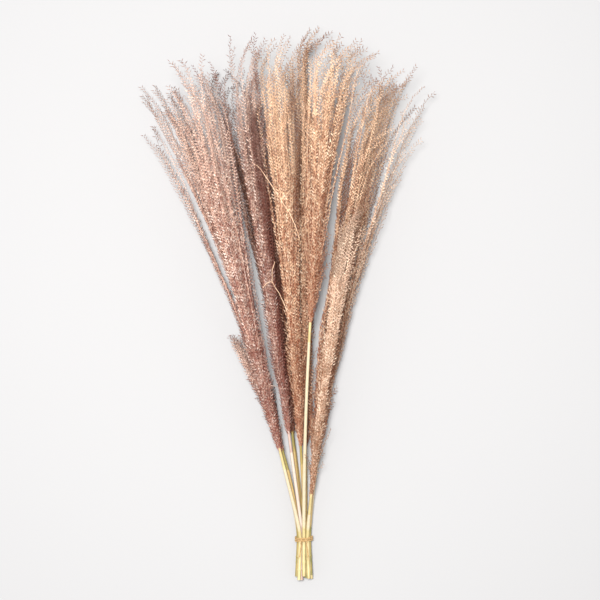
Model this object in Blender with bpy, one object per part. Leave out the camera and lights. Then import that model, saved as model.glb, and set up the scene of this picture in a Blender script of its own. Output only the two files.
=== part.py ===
"""A bundle of dried horsetail grass, lying on a table. For Blender 4.5, in metres, +Z up.

Fourteen cut stems are bound low down with jute twine and fan out above it. Each stem is
smooth and straw-coloured, and carries one long feathery plume: a slim axis with many thin
racemes, beaded with seeds, that lie close together low down and spread at the top.
The bundle lies along Y with its cut ends towards -Y. It rests on the plane z = 0, with the
origin under the middle of its tie.
"""

import math
import random
from collections import namedtuple

import bmesh
import bpy
from mathutils import Vector

# Driving dimensions
STEM_RADIUS = 0.0024  # at the tie
STEM_TOP_RADIUS = 0.0018  # where the plume begins
JOINT_SWELL = 1.22  # a stem's joint, as a share of its radius
JOINT_LENGTH = 0.008
JOINT_PLACE = 0.75  # share of the way from the tie to the cut
JOINT_STEP = 0.007  # one stem's joint lies this much nearer the tie than its neighbour's
LONGEST_RUN = 0.075  # of a bare stem, between two points of its curve
TWINE_RADIUS = 0.0010
LOOSE_RADIUS = 0.9 * TWINE_RADIUS  # of its loose ends, which nothing draws tight
GAP = 0.0003  # left between pieces that touch

# How the stems are packed where they are tied
STEM_PITCH = 2 * STEM_RADIUS + 0.00035
ROW_PITCH = STEM_PITCH * math.sqrt(3) / 2
STEMS_IN_ROW = (3, 4, 4, 3)  # from the lowest row up
TWINE_FLAT = 0.0005  # how far the twine is pressed flat on the table
TWINE_OFFSET = STEM_RADIUS + 2 * GAP + TWINE_RADIUS  # from a stem's middle to the twine's
LOWEST_ROW = TWINE_OFFSET + TWINE_RADIUS - TWINE_FLAT

# How the twine is wound and knotted
TURNS = 3
TURN_PITCH = 0.00215
POINTS_IN_TURN = 12
KNOT_SIZE = (0.0030, 0.0036, 0.0021)  # half its width, length and height
LOOSE_END = 0.024  # length of each end of the twine that the knot leaves free
LOOSE_SPREAD = 0.006  # how far that end strays sideways
LOOSE_RISE = 0.0012  # how far it stands off the stems at the knot
LOOSE_SHARES = (0.15, 0.4, 0.7, 1.0)  # where its curve has points, in its length

# How the stems fan out above the tie and below it
WAIST = 0.016  # length over which a stem bends away from the tie
BEND_SHARES = (-1.0, -0.3, 0.3, 1.0)  # where a stem's curve has points there, in that length
DOWNWARD_SAG = 0.50
SPLAY_BELOW = 7.5  # how much wider the bundle grows below the tie, for each metre

# How a plume grows
TAIL_RADIUS = 0.0075  # of the narrow lower part of a plume
BARE_ROOM = 0.0060  # kept round a bare stem by the plumes beside it
LOWEST_ROOT = 0.01  # where the first raceme leaves the plume's axis, as a share of the plume
STARTS_OVER = 0.56  # share of the plume over which racemes leave its axis
GOLDEN_ANGLE = math.radians(137.5)
SPREAD_RATE = 4.0  # how soon a raceme reaches its place, over its own length
CURL = 0.5  # how far a raceme's tip leans outwards, as a share of the plume's spread
CURL_LUCK = (0.4, 1.2)  # by what factor one raceme's tip leans less or more than another's
CURL_UP = 0.15  # how far it leans up, as a share of how far it leans outwards
CURL_FROM = 0.7  # share of a raceme's length where that begins
TIP_ROOM = 0.016  # how far above its tip a plume still keeps its room
LENGTH_LUCK = (0.92, 1.08)  # by what factor one raceme is shorter or longer than another
ZIGZAG = 0.0012  # how far a raceme bends aside at each bunch of seeds
CORE_SHARE = 0.86  # of the plume's length
CORE_RADII = (0.0017, 0.0024, 0.0022, 0.0017, 0.0012, 0.0009, 0.0004)
SEED_RADIUS = 0.0024  # of the widest bunch of seeds on a raceme
BEADS = (0.35, 0.48, 0.96, 0.46, 1.0, 0.44, 0.92, 0.40, 0.70, 0.20)  # shares of that, up a raceme
CLEARANCE = SEED_RADIUS + 0.0004  # from a raceme's middle to the edge of its plume's room
PRESSED = 0.0010  # height of a raceme's middle where it lies on the table

Stem = namedtuple("Stem", "row place lean lift bow base tip spread racemes cut colour straw")

# row and place: where the stem is packed in the tie, from the lowest row and from the left.
# lean and lift: how far across and above the table the plume's tip is. bow: how much of the
# lean comes late, as the stem bends outwards. base and tip: where the plume begins and ends,
# above the tie. spread: its radius at the tip. cut: where the stem is cut, below the tie.
STEMS = (
    Stem(0, 0, -0.189, 0.018, 0.22, 0.118, 0.638, 0.027, 14, 0.055, "mauve", "straw"),
    Stem(0, 1, -0.112, 0.018, 0.40, 0.150, 0.655, 0.033, 13, 0.051, "brown", "olive"),
    Stem(0, 2, 0.122, 0.018, 0.40, 0.110, 0.645, 0.026, 14, 0.057, "copper", "straw"),
    Stem(1, 0, -0.214, 0.050, 0.50, 0.133, 0.572, 0.009, 8, 0.053, "mauve", "straw"),
    Stem(1, 1, -0.064, 0.064, 0.05, 0.145, 0.600, 0.025, 13, 0.058, "brown", "olive"),
    Stem(1, 2, 0.002, 0.066, 0.00, 0.128, 0.704, 0.021, 13, 0.050, "copper", "olive"),
    Stem(1, 3, 0.163, 0.056, 0.65, 0.145, 0.626, 0.018, 10, 0.056, "beige", "straw"),
    Stem(2, 0, -0.100, 0.050, 0.70, 0.120, 0.284, 0.009, 7, 0.052, "mauve", "olive"),
    Stem(2, 1, -0.088, 0.110, -0.10, 0.145, 0.688, 0.023, 14, 0.057, "mauve", "mauve"),
    Stem(2, 2, -0.038, 0.112, 0.00, 0.128, 0.684, 0.030, 16, 0.054, "copper", "olive"),
    Stem(2, 3, 0.104, 0.098, 0.60, 0.105, 0.652, 0.035, 14, 0.050, "copper", "olive"),
    Stem(3, 0, -0.140, 0.138, -0.22, 0.122, 0.650, 0.037, 17, 0.056, "mauve", "straw"),
    Stem(3, 1, 0.045, 0.138, 1.00, 0.298, 0.680, 0.044, 17, 0.051, "copper", "straw"),
    Stem(3, 2, 0.065, 0.136, 0.30, 0.058, 0.466, 0.015, 12, 0.054, "beige", "straw"),
)

# Colour, roughness and metallic value of each finish, seen in the photograph
FINISHES = {
    "plume_mauve": ((0.46, 0.27, 0.21), 0.80, 0.0),
    "plume_brown": ((0.33, 0.18, 0.13), 0.80, 0.0),
    "plume_copper": ((0.49, 0.27, 0.16), 0.80, 0.0),
    "plume_beige": ((0.56, 0.38, 0.27), 0.80, 0.0),
    "stem_straw": ((0.78, 0.66, 0.40), 0.45, 0.0),
    "stem_olive": ((0.50, 0.43, 0.20), 0.45, 0.0),
    "stem_mauve": ((0.60, 0.47, 0.40), 0.45, 0.0),
    "jute": ((0.45, 0.31, 0.17), 0.90, 0.0),
}


def clear_scene():
    for obj in list(bpy.data.objects):
        bpy.data.objects.remove(obj)


def new_collection(name):
    collection = bpy.data.collections.new(name)
    bpy.context.scene.collection.children.link(collection)
    return collection


def keep_as_guide(obj, guides):
    """Cutters and profiles shape the pieces and are no pieces themselves."""
    guides.objects.link(obj)
    obj.hide_render = True
    obj.display_type = "WIRE"
    return obj


def finish(name):
    material = bpy.data.materials.get(name)
    if material is None:
        colour, roughness, metallic = FINISHES[name]
        material = bpy.data.materials.new(name)
        material.use_nodes = True
        shader = material.node_tree.nodes["Principled BSDF"]
        shader.inputs["Base Color"].default_value = (*colour, 1)
        shader.inputs["Roughness"].default_value = roughness
        shader.inputs["Metallic"].default_value = metallic
        material.diffuse_color = (*colour, 1)
    return material


# Where a stem's middle line runs

def packed_place(stem):
    """Across and up from the table, where the stem passes through the tie."""
    across = (stem.place - (STEMS_IN_ROW[stem.row] - 1) / 2) * STEM_PITCH
    return Vector((across, LOWEST_ROW + stem.row * ROW_PITCH))


def bend(height):
    """Distance from the tie, eased so that a stem bends round the waist and doesn't kink."""
    return math.hypot(height, WAIST) - WAIST


def spread_below(height):
    """How much wider than in the tie the stems stand at this place below it."""
    return 1 + SPLAY_BELOW * bend(height)


def middle(stem, height):
    """Across and up from the table, at this height above the tie."""
    tied = packed_place(stem)
    if height < 0:
        above_lowest = (tied.y - LOWEST_ROW) * spread_below(height)
        return Vector((tied.x * spread_below(height), LOWEST_ROW + above_lowest))
    share = bend(height) / bend(stem.tip)
    outward = share * (1 - stem.bow + stem.bow * share)
    upward = share * (1 + DOWNWARD_SAG - DOWNWARD_SAG * share)
    return Vector((tied.x + (stem.lean - tied.x) * outward, tied.y + (stem.lift - tied.y) * upward))


def in_space(height, place):
    return Vector((place.x, height, place.y))


# How much room a plume has

def reach(stem, height):
    """How far from its middle line the stem reaches at this height, left to itself."""
    share = (height - stem.base) / (stem.tip - stem.base)
    if share < 0:
        return BARE_ROOM
    return TAIL_RADIUS + (stem.spread - TAIL_RADIUS) * min(share, 1)


def kept_in_room(stem, height, offset):
    """The offset from a plume's middle line, shortened where it would enter a neighbour's room."""
    here = middle(stem, height)
    for other in STEMS:
        if other is stem or height > other.tip + TIP_ROOM:
            continue
        gap = middle(other, height) - here
        share = reach(stem, height) / (reach(stem, height) + reach(other, height))
        room = max(gap.length * share - CLEARANCE, 0)
        towards = offset.dot(gap.normalized())
        if towards > room:
            offset = offset * (room / towards)
    return Vector((offset.x, max(here.y + offset.y, PRESSED) - here.y))


# Curves and meshes

def triangle_profile():
    """The three-sided section that racemes are swept with, a millimetre from middle to corner."""
    data = bpy.data.curves.new("raceme_profile", "CURVE")
    data.dimensions = "2D"
    spline = data.splines.new("POLY")
    spline.points.add(2)
    for index, point in enumerate(spline.points):
        angle = math.tau * index / 3
        point.co = (0.001 * math.cos(angle), 0.001 * math.sin(angle), 0, 1)
    spline.use_cyclic_u = True
    return bpy.data.objects.new("raceme_profile", data)


def swept(name, points, radii, profile=None, sides=6):
    """A capped mesh swept along the points, with its own radius at each."""
    data = bpy.data.curves.new(name, "CURVE")
    data.dimensions = "3D"
    data.use_fill_caps = True
    if profile:
        data.bevel_mode = "OBJECT"
        data.bevel_object = profile
    else:
        data.bevel_depth = 0.001
        data.bevel_resolution = (sides - 4) // 2
    spline = data.splines.new("POLY")
    spline.points.add(len(points) - 1)
    for point, place, radius in zip(spline.points, points, radii):
        point.co = (*place, 1)
        point.radius = radius / 0.001
    curve = bpy.data.objects.new(name + "_curve", data)
    bpy.context.scene.collection.objects.link(curve)
    bpy.context.view_layer.update()
    graph = bpy.context.evaluated_depsgraph_get()
    mesh = bpy.data.meshes.new_from_object(curve.evaluated_get(graph))
    bpy.data.objects.remove(curve)
    shell = bmesh.new()
    shell.from_mesh(mesh)
    bmesh.ops.remove_doubles(shell, verts=shell.verts, dist=1e-6)
    bmesh.ops.recalc_face_normals(shell, faces=shell.faces)
    shell.to_mesh(mesh)
    shell.free()
    mesh.name = name
    return bpy.data.objects.new(name, mesh)


def keep_main_skin(mesh):
    """Fill small hollows that strands sealed where they met, and drop any loose scrap."""
    shell = bmesh.new()
    shell.from_mesh(mesh)
    unseen = set(shell.verts)
    skins = []
    while unseen:
        skin = {unseen.pop()}
        edge_of_skin = list(skin)
        while edge_of_skin:
            vert = edge_of_skin.pop()
            nearby = {edge.other_vert(vert) for edge in vert.link_edges} & unseen
            unseen -= nearby
            skin |= nearby
            edge_of_skin.extend(nearby)
        skins.append(skin)
    main_skin = max(skins, key=len)
    loose = [vert for vert in shell.verts if vert not in main_skin]
    bmesh.ops.delete(shell, geom=loose, context="VERTS")
    shell.to_mesh(mesh)
    shell.free()


def fused(body, pieces, name):
    """The body with the pieces joined to it in one closed skin."""
    repeats = new_collection(name + "_repeats")
    for piece in pieces:
        repeats.objects.link(piece)
    bpy.context.scene.collection.objects.link(body)
    union = body.modifiers.new("Join", "BOOLEAN")
    union.operation = "UNION"
    union.operand_type = "COLLECTION"
    union.collection = repeats
    bpy.context.view_layer.update()
    graph = bpy.context.evaluated_depsgraph_get()
    mesh = bpy.data.meshes.new_from_object(body.evaluated_get(graph))
    for obj in [body, *pieces]:
        bpy.data.objects.remove(obj)
    bpy.data.collections.remove(repeats)
    keep_main_skin(mesh)
    mesh.name = name
    return bpy.data.objects.new(name, mesh)


def table_cutter(guides):
    """The table's top, which flattens what is pressed on it."""
    shell = bmesh.new()
    bmesh.ops.create_cube(shell, size=1)
    mesh = bpy.data.meshes.new("table_cutter")
    shell.to_mesh(mesh)
    shell.free()
    table = keep_as_guide(bpy.data.objects.new("table_cutter", mesh), guides)
    table.scale = (2, 2, 0.02)
    table.location = (0, 0, -0.01)
    return table


def press_flat(obj, table):
    cut = obj.modifiers.new("Press flat", "BOOLEAN")
    cut.operation = "DIFFERENCE"
    cut.object = table


def dress(obj, finish_name, bundle):
    obj.data.materials.clear()
    obj.data.materials.append(finish(finish_name))
    obj.data.shade_smooth()
    obj.data.set_sharp_from_angle(angle=math.radians(50))
    bundle.objects.link(obj)
    return obj


# The pieces

def bare_stem(stem, number):
    """The bare stem from its cut end to its plume, with one swollen joint low on it."""
    joint = -JOINT_PLACE * stem.cut + JOINT_STEP * (number % 3)
    top = stem.base - GAP
    steps = max(2, round(top / LONGEST_RUN))
    heights = [-stem.cut, joint - JOINT_LENGTH / 2, joint, joint + JOINT_LENGTH / 2]
    heights += [WAIST * share for share in BEND_SHARES]
    heights += [WAIST + (top - WAIST) * (step + 1) / steps for step in range(steps)]
    points = [in_space(height, middle(stem, height)) for height in heights]
    radii = []
    for height in heights:
        share = max(height, 0) / top
        radii.append(STEM_RADIUS + (STEM_TOP_RADIUS - STEM_RADIUS) * share)
    radii[heights.index(joint)] *= JOINT_SWELL
    return swept(f"stem_{number:02d}", points, radii)


def plume_axis(stem, name):
    """The slim middle of a plume, which its racemes grow from."""
    length = stem.tip - stem.base
    shares = [index / (len(CORE_RADII) - 1) for index in range(len(CORE_RADII))]
    heights = [stem.base + length * CORE_SHARE * share for share in shares]
    points = [in_space(height, middle(stem, height)) for height in heights]
    return swept(name, points, CORE_RADII, sides=4)


def raceme(stem, index, rank, chance, profile):
    """One thin beaded branch: it leaves the axis, runs up beside it and leans out at its tip."""
    length = stem.tip - stem.base
    start = stem.base + length * (LOWEST_ROOT + STARTS_OVER * index / stem.racemes)
    run = length * (1 - STARTS_OVER) * chance.uniform(*LENGTH_LUCK)
    direction = index * GOLDEN_ANGLE + stem.place
    away = Vector((math.cos(direction), math.sin(direction)))
    share = math.sqrt((rank + 0.5) / stem.racemes)
    curl = CURL * stem.spread * chance.uniform(*CURL_LUCK)
    outward = Vector((math.copysign(curl, stem.lean), curl * CURL_UP))
    points = []
    for step in range(len(BEADS)):
        along = step / (len(BEADS) - 1)
        height = start + run * along
        spread = share * reach(stem, height) * (1 - math.exp(-SPREAD_RATE * along))
        tip = max(along - CURL_FROM, 0) / (1 - CURL_FROM)
        side = Vector((-away.y, away.x)) * ZIGZAG * (-1) ** step * min(3 * along, 1)
        offset = kept_in_room(stem, height, away * spread + side + outward * tip**2)
        points.append(in_space(height, middle(stem, height) + offset))
    return swept("raceme", points, [SEED_RADIUS * share for share in BEADS], profile)


def plume(stem, number, profile):
    """A whole plume: its axis and its racemes, grown together as one."""
    chance = random.Random(number)
    ranks = chance.sample(range(stem.racemes), stem.racemes)
    branches = [raceme(stem, index, rank, chance, profile) for index, rank in enumerate(ranks)]
    name = f"plume_{number:02d}"
    return fused(plume_axis(stem, name), branches, name)


def wound_twine():
    """The middle line of the twine: it runs from stem to stem round the outside of the bunch."""
    places = [packed_place(stem) for stem in STEMS]
    points = []
    for step in range(TURNS * POINTS_IN_TURN):
        turned = (step + 0.5) / POINTS_IN_TURN
        angle = math.tau * (0.25 + turned)
        outward = Vector((math.cos(angle), math.sin(angle)))
        carrier = max(places, key=outward.dot)
        ring = carrier + outward * TWINE_OFFSET
        points.append(in_space((turned - TURNS / 2) * TURN_PITCH, ring))
    return points


def above_stems(height):
    """How high the middle of a twine lies that rests on the top row of stems."""
    top_row = (len(STEMS_IN_ROW) - 1) * ROW_PITCH * spread_below(height)
    return LOWEST_ROW + top_row + TWINE_OFFSET


def loose_end(first, second, side):
    """One end of the twine: from the winding up into the knot, and out along the stems."""
    knot = Vector((0, 0, above_stems(0) + KNOT_SIZE[2]))
    points = [second.lerp(first, 0.5), first, knot]
    for share in LOOSE_SHARES:
        height = -LOOSE_END * share
        across = side * LOOSE_SPREAD * math.sqrt(share)
        points.append(Vector((across, height, above_stems(height) + LOOSE_RISE * (1 - share))))
    return swept("loose_end", points, [LOOSE_RADIUS] * len(points), sides=4)


def knot_lump():
    """The knot: the two ends of the twine drawn tight round each other, as one small lump."""
    shell = bmesh.new()
    bmesh.ops.create_uvsphere(shell, u_segments=8, v_segments=5, radius=1)
    bmesh.ops.scale(shell, vec=KNOT_SIZE, verts=shell.verts)
    bmesh.ops.translate(shell, vec=(0, 0, above_stems(0) + KNOT_SIZE[2]), verts=shell.verts)
    mesh = bpy.data.meshes.new("knot")
    shell.to_mesh(mesh)
    shell.free()
    return bpy.data.objects.new("knot", mesh)


def tie():
    """The jute twine: three turns side by side, a knot on top and two short loose ends."""
    points = wound_twine()
    winding = swept("tie", points, [TWINE_RADIUS] * len(points))
    left = loose_end(points[0], points[1], -1)
    right = loose_end(points[-1], points[-2], 1)
    return fused(winding, [left, right, knot_lump()], "tie")


def main():
    clear_scene()
    bundle = new_collection("horsetail_bundle")
    guides = new_collection("guides")
    profile = keep_as_guide(triangle_profile(), guides)
    table = table_cutter(guides)
    for number, stem in enumerate(STEMS, 1):
        dress(bare_stem(stem, number), "stem_" + stem.straw, bundle)
        head = dress(plume(stem, number, profile), "plume_" + stem.colour, bundle)
        if stem.row == 0:
            press_flat(head, table)
    press_flat(dress(tie(), "jute", bundle), table)


main()
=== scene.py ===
import math
import random
from collections import namedtuple

import bpy
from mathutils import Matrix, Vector


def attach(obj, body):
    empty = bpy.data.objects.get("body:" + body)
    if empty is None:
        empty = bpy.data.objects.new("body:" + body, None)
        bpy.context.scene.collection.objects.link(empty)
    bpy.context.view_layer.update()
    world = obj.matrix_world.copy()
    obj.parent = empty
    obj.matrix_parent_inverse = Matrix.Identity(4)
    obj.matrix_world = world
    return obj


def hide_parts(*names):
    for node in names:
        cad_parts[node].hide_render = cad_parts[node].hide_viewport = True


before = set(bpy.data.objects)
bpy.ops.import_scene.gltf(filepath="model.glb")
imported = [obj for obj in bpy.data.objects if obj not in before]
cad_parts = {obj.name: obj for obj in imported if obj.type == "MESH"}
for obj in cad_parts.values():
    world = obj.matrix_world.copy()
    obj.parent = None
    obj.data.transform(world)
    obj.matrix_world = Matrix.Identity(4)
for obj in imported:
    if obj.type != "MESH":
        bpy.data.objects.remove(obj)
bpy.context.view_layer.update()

# The canes. Fourteen cut grass stems, hard and satiny as straw, packed in four rows where the
# twine holds them. They spring apart above it and splay a little below it. Each was snipped
# straight across, so that the rind shows as a ring round the soft pale pith.
STEM_RADIUS = 0.0024  # at the twine
STEM_TOP_RADIUS = 0.0018  # where the plume begins
STEM_GAP = 0.00035  # between packed stems
STEM_PITCH = 2 * STEM_RADIUS + STEM_GAP
ROW_PITCH = STEM_PITCH * math.sqrt(3) / 2
STEMS_IN_ROW = (3, 4, 4, 3)  # from the lowest row up
TWINE_RADIUS = 0.0010
TWINE_FLAT = 0.0005  # how far the twine is pressed flat on the table
TWINE_GAP = 0.0006  # between a stem and the twine round it
TWINE_OFFSET = STEM_RADIUS + TWINE_GAP + TWINE_RADIUS  # from a stem's middle to the twine's
LOWEST_ROW = TWINE_OFFSET + TWINE_RADIUS - TWINE_FLAT
WAIST = 0.016  # length over which a stem bends away from the twine
DOWNWARD_SAG = 0.50  # how much of a stem's rise comes early, so that it arches over
SPLAY_BELOW = 7.5  # how much wider the bundle grows below the twine, for each metre
JOINT_PLACE = 0.75  # share of the way from the twine to the cut
JOINT_STEP = 0.007  # two joints out of three lie one or two of these nearer the twine
JOINT_SWELL = 0.22  # how much a joint is thicker than the stem, as a share
JOINT_LENGTH = 0.0022  # from the middle of the swelling to where it has gone
JOINT_RINGS = 3  # points of the middle line over that length
SHEATH_THICKNESS = 0.00016  # of the dry leaf base that wraps a stem above the tie
SHEATH_END = 0.022  # how far below the plume the sheath ends
SHEATH_EDGE = 0.0006  # length over which its end steps down to the stem
STEM_STEP = 0.006  # between two points of a stem's middle line
INTO_PLUME = 0.008  # how far a stem is seen to run on, inside its plume
RIND_SHARE = 0.66  # of a cut stem's radius, where the rind gives way to pith
PITH_DEPTH = 0.0005  # how far the pith has shrunk into the cut
CUT_FACING = 0.9  # a face that points down the stem by more than this cosine is the cut
CREASE = math.radians(40)  # an edge that turns further than this stays sharp

# row and place: where the stem is packed in the tie, from the lowest row and from the left.
# lean and lift: how far across and above the table the plume's tip is. bow: how much of the
# lean comes late, as the stem bends outwards. base and tip: where the plume begins and ends,
# above the tie. spread: its radius at the tip. racemes: how many strands its solid has. cut:
# where the stem is cut, below the tie. colour and straw: what the plume and the stem look like.
Stem = namedtuple("Stem", "row place lean lift bow base tip spread racemes cut colour straw")
STEMS = (
    Stem(0, 0, -0.189, 0.018, 0.22, 0.118, 0.638, 0.027, 14, 0.055, "mauve", "straw"),
    Stem(0, 1, -0.112, 0.018, 0.40, 0.150, 0.655, 0.033, 13, 0.051, "brown", "olive"),
    Stem(0, 2, 0.122, 0.018, 0.40, 0.110, 0.645, 0.026, 14, 0.057, "copper", "straw"),
    Stem(1, 0, -0.214, 0.050, 0.50, 0.133, 0.572, 0.009, 8, 0.053, "mauve", "straw"),
    Stem(1, 1, -0.064, 0.064, 0.05, 0.145, 0.600, 0.025, 13, 0.058, "brown", "olive"),
    Stem(1, 2, 0.002, 0.066, 0.00, 0.128, 0.704, 0.021, 13, 0.050, "copper", "olive"),
    Stem(1, 3, 0.163, 0.056, 0.65, 0.145, 0.626, 0.018, 10, 0.056, "beige", "straw"),
    Stem(2, 0, -0.100, 0.050, 0.70, 0.120, 0.284, 0.009, 7, 0.052, "mauve", "olive"),
    Stem(2, 1, -0.088, 0.110, -0.10, 0.145, 0.688, 0.023, 14, 0.057, "mauve", "mauve"),
    Stem(2, 2, -0.038, 0.112, 0.00, 0.128, 0.684, 0.030, 16, 0.054, "copper", "olive"),
    Stem(2, 3, 0.104, 0.098, 0.60, 0.105, 0.652, 0.035, 14, 0.050, "copper", "olive"),
    Stem(3, 0, -0.140, 0.138, -0.22, 0.122, 0.650, 0.037, 17, 0.056, "mauve", "straw"),
    Stem(3, 1, 0.045, 0.138, 1.00, 0.298, 0.680, 0.044, 17, 0.051, "copper", "straw"),
    Stem(3, 2, 0.065, 0.136, 0.30, 0.058, 0.466, 0.015, 12, 0.054, "beige", "straw"),
)


def packed_place(stem):
    """Across and up from the table, where the stem passes through the tie."""
    across = (stem.place - (STEMS_IN_ROW[stem.row] - 1) / 2) * STEM_PITCH
    return Vector((across, LOWEST_ROW + stem.row * ROW_PITCH))


def bend(height):
    """Distance from the tie, eased so that a stem bends round the waist and doesn't kink."""
    return math.hypot(height, WAIST) - WAIST


def spread_below(height):
    """How much wider than in the tie the stems stand at this place below it."""
    return 1 + SPLAY_BELOW * bend(height)


def middle(stem, height):
    """Across and up from the table, at this height above the tie."""
    tied = packed_place(stem)
    if height < 0:
        above_lowest = (tied.y - LOWEST_ROW) * spread_below(height)
        return Vector((tied.x * spread_below(height), LOWEST_ROW + above_lowest))
    share = bend(height) / bend(stem.tip)
    outward = share * (1 - stem.bow + stem.bow * share)
    upward = share * (1 + DOWNWARD_SAG - DOWNWARD_SAG * share)
    return Vector((tied.x + (stem.lean - tied.x) * outward, tied.y + (stem.lift - tied.y) * upward))


def in_space(height, place):
    return Vector((place.x, height, place.y))


def strands(name, paths, values):
    """Paths as the loose edges of one mesh, with the named values stored at every point."""
    edges = []
    first = 0
    for path in paths:
        edges += [(first + step, first + step + 1) for step in range(len(path) - 1)]
        first += len(path)
    mesh = bpy.data.meshes.new(name)
    mesh.from_pydata([point for path in paths for point in path], edges, [])
    for key, numbers in values.items():
        layer = mesh.attributes.new(key, "FLOAT", "POINT")
        layer.data.foreach_set("value", numbers)
    guide = bpy.data.objects.new(name, mesh)
    bpy.context.scene.collection.objects.link(guide)
    return guide


def new_tree(name, numbers):
    """An empty Geometry Nodes tree with its named inputs, and the outputs of its input node."""
    tree = bpy.data.node_groups.new(name, "GeometryNodeTree")
    tree.interface.new_socket("Guide", in_out="INPUT", socket_type="NodeSocketGeometry")
    for key, value in numbers.items():
        kind = "NodeSocketInt" if isinstance(value, int) else "NodeSocketFloat"
        socket = tree.interface.new_socket(key, in_out="INPUT", socket_type=kind)
        socket.default_value = value
    tree.interface.new_socket("Finish", in_out="INPUT", socket_type="NodeSocketMaterial")
    tree.interface.new_socket("Result", in_out="OUTPUT", socket_type="NodeSocketGeometry")
    return tree, tree.nodes.new("NodeGroupInput").outputs


def result(node):
    """The output that a node gives with its settings."""
    return next(socket for socket in node.outputs if socket.enabled)


def add(tree, kind, settings, inputs):
    """Adds a node with its settings, and fills its inputs or links them to nodes and sockets."""
    node = tree.nodes.new(kind)
    for key, value in settings.items():
        setattr(node, key, value)
    for key, value in inputs.items():
        socket = next(s for s in node.inputs if s.enabled and key in (s.name, s.identifier))
        if isinstance(value, bpy.types.Node):
            value = result(value)
        if isinstance(value, bpy.types.NodeSocket):
            tree.links.new(value, socket)
        else:
            socket.default_value = value
    return node


def grown(guide, tree, finish, values):
    """Runs the tree on the guide, and leaves what it makes there as a plain mesh."""
    modifier = guide.modifiers.new(tree.name, "NODES")
    modifier.node_group = tree
    values = {"Finish": finish, **values}
    for item in tree.interface.items_tree:
        if item.name in values:
            modifier[item.identifier] = values[item.name]
    graph = bpy.context.evaluated_depsgraph_get()
    mesh = bpy.data.meshes.new_from_object(guide.evaluated_get(graph))
    guide.modifiers.remove(modifier)
    path = guide.data
    guide.data = mesh
    bpy.data.meshes.remove(path)
    mesh.name = guide.name
    return guide


def linear(hex_colour):
    """An sRGB hex colour as the linear colour that a shader socket takes."""
    channels = [int(hex_colour[at:at + 2], 16) / 255 for at in (1, 3, 5)]
    return (*[c / 12.92 if c < 0.04045 else ((c + 0.055) / 1.055) ** 2.4 for c in channels], 1)


def new_material(name):
    """An empty material, its node tree and its Principled shader."""
    material = bpy.data.materials.new(name)
    material.use_nodes = True
    tree = material.node_tree
    return material, tree, tree.nodes["Principled BSDF"]


# A tube along the stem's middle line. At its lower end the rind stands round the sunken pith.
cane_tree, cane_size = new_tree("Cut cane", {
    "Sides": 16, "Rind share": RIND_SHARE, "Pith depth": PITH_DEPTH})
path = add(cane_tree, "GeometryNodeMeshToCurve", {}, {"Mesh": cane_size["Guide"]})
thickness = add(cane_tree, "GeometryNodeInputNamedAttribute", {"data_type": "FLOAT"}, {
    "Name": "thickness"})
section = add(cane_tree, "GeometryNodeCurvePrimitiveCircle", {"mode": "RADIUS"}, {
    "Resolution": cane_size["Sides"], "Radius": 1.0})
cane = add(cane_tree, "GeometryNodeCurveToMesh", {}, {
    "Curve": path, "Profile Curve": section, "Scale": thickness, "Fill Caps": True})
facing = add(cane_tree, "GeometryNodeInputNormal", {}, {})
downwards = add(cane_tree, "ShaderNodeVectorMath", {"operation": "DOT_PRODUCT"}, {
    "Vector": facing, "Vector_001": (0, -1, 0)})
is_cut = add(cane_tree, "FunctionNodeCompare", {"operation": "GREATER_THAN"}, {
    "A": downwards.outputs["Value"], "B": CUT_FACING})
rim = add(cane_tree, "GeometryNodeExtrudeMesh", {}, {
    "Mesh": cane, "Selection": is_cut, "Offset Scale": 0.0, "Individual": False})
inset = add(cane_tree, "GeometryNodeScaleElements", {}, {
    "Geometry": rim, "Selection": rim.outputs["Top"], "Scale": cane_size["Rind share"]})
inwards = add(cane_tree, "ShaderNodeMath", {"operation": "MULTIPLY"}, {
    "Value": cane_size["Pith depth"], "Value_001": -1.0})
hollow = add(cane_tree, "GeometryNodeExtrudeMesh", {}, {
    "Mesh": inset, "Selection": rim.outputs["Top"], "Offset Scale": inwards, "Individual": False})
marked = add(cane_tree, "GeometryNodeStoreNamedAttribute", {"data_type": "FLOAT", "domain": "FACE"}, {
    "Geometry": hollow, "Selection": hollow.outputs["Top"], "Name": "pith", "Value": 1.0})
dressed = add(cane_tree, "GeometryNodeSetMaterial", {}, {
    "Geometry": marked, "Material": cane_size["Finish"]})
solid = add(cane_tree, "GeometryNodeRealizeInstances", {}, {"Geometry": dressed})
add(cane_tree, "NodeGroupOutput", {}, {"Result": solid})


# Dry straw: a waxy rind, so it has a satin gloss, with fine ridges of fibre along it. Over it lie
# patches of painted shade, in a shaded copy of its colour; it is flecked with small dark specks, and
# greyer where the leaf base wraps it.
# The counts below are for each metre. Real fibres are finer, and would not show at this size.
FIBRES = 2600.0  # 0.4 mm apart
FIBRE_STRETCH = 0.03  # makes a fibre some 13 mm long
SHADE_PATCHES = 45.0  # patches of painted shade, 22 mm apart
SPECKS = 900.0  # 1 mm across
SPECK_STRETCH = 0.3  # and 3.5 mm long
RIDGE_HEIGHT = 0.0002


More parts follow.
